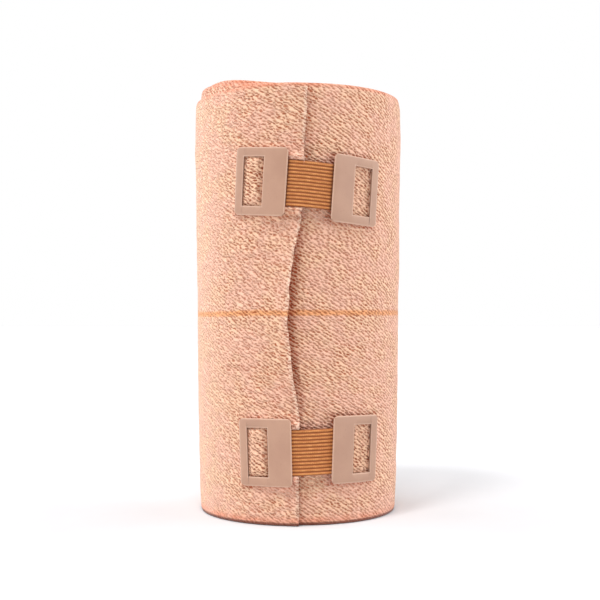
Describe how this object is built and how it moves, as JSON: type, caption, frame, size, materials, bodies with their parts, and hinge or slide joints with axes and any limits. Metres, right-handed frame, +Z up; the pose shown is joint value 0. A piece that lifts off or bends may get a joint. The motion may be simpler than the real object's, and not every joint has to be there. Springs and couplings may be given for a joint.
{
  "type": "crepe bandage roll",
  "caption": "Wound roll of skin-coloured crepe bandage standing on end, its loose end held at the front by two elastic clips with windowed metal plates.",
  "frame": {"origin": "middle of the flat base on which the roll stands, on the roll's axis", "axes": "+Z up the roll's axis, -Y the front where the clips are, +X to the right as seen from the front"},
  "size_m": [0.0507, 0.0532, 0.1029],
  "materials": {
    "crepe": "matte crinkled cotton crepe weave",
    "clip_plate": "satin beige lacquer on thin steel",
    "clip_elastic": "ribbed woven elastic, orange-brown"
  },
  "bodies": {
    "root": {"bandage_roll": "crepe", "clip_upper_plate_left": "clip_plate", "clip_upper_plate_right": "clip_plate", "clip_upper_elastic": "clip_elastic", "clip_lower_plate_left": "clip_plate", "clip_lower_plate_right": "clip_plate", "clip_lower_elastic": "clip_elastic"}
  },
  "joints": []
}
